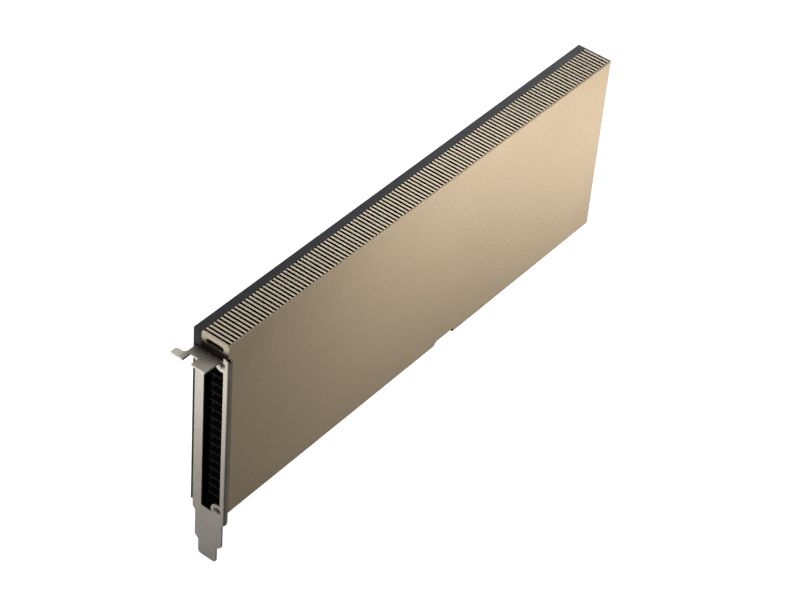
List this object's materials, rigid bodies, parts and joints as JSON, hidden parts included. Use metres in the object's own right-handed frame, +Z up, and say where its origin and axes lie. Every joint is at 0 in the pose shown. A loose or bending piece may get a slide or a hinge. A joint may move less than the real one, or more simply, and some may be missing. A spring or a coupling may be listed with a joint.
{
  "type": "passive accelerator card",
  "caption": "Slim passive accelerator card: ribbed aluminium cover over a finned heat sink, steel mounting bracket with an air window, black backplate and edge connector.",
  "frame": {"origin": "centre of the key notch at the bottom of the edge contacts, on the middle plane of the circuit board", "axes": "+X from the bracket to the power end along the card, +Y towards the solder side with the backplate, +Z up from the edge contacts to the top edge"},
  "size_m": [0.2773, 0.0217, 0.1283],
  "materials": {
    "cover_metal": "satin champagne anodised",
    "bracket_steel": "plated steel sheet",
    "bracket_screw_metal": "black plated",
    "frame_black": "matte black",
    "board_laminate": "solder mask",
    "contact_gold": "gold plated",
    "package_laminate": "solder mask",
    "die_silicon": "polished",
    "package_frame_metal": "nickel plated",
    "chip_epoxy": "moulded epoxy",
    "thermal_pad": "soft pad",
    "choke_ferrite": "pressed ferrite",
    "capacitor_resin": "moulded resin",
    "capacitor_ceramic": "fired",
    "connector_nylon": "moulded",
    "pin_brass": "tin plated",
    "heat_sink_metal": "plain",
    "film_black": "thin film",
    "plate_black": "matte black",
    "board_screw_metal": "black plated"
  },
  "bodies": {
    "root": {"cover": "cover_metal", "top_rail": "cover_metal", "foot_rail": "cover_metal", "bracket": "bracket_steel", "bracket_screws": "bracket_screw_metal", "mounting_frame": "frame_black", "circuit_board": "board_laminate", "edge_contacts_front": "contact_gold", "edge_contacts_rear": "contact_gold", "processor_substrate": "package_laminate", "processor_die": "die_silicon", "processor_frame": "package_frame_metal", "memory_chips": "chip_epoxy", "memory_pads": "thermal_pad", "power_stages": "chip_epoxy", "inductors": "choke_ferrite", "inductor_pads": "thermal_pad", "polymer_capacitors": "capacitor_resin", "control_chips": "chip_epoxy", "ceramic_capacitors": "capacitor_ceramic", "power_connector": "connector_nylon", "power_pins": "pin_brass", "heat_sink_base": "heat_sink_metal", "heat_sink_fins": "heat_sink_metal", "insulating_film": "film_black", "backplate": "plate_black", "board_screws": "board_screw_metal"}
  },
  "joints": []
}
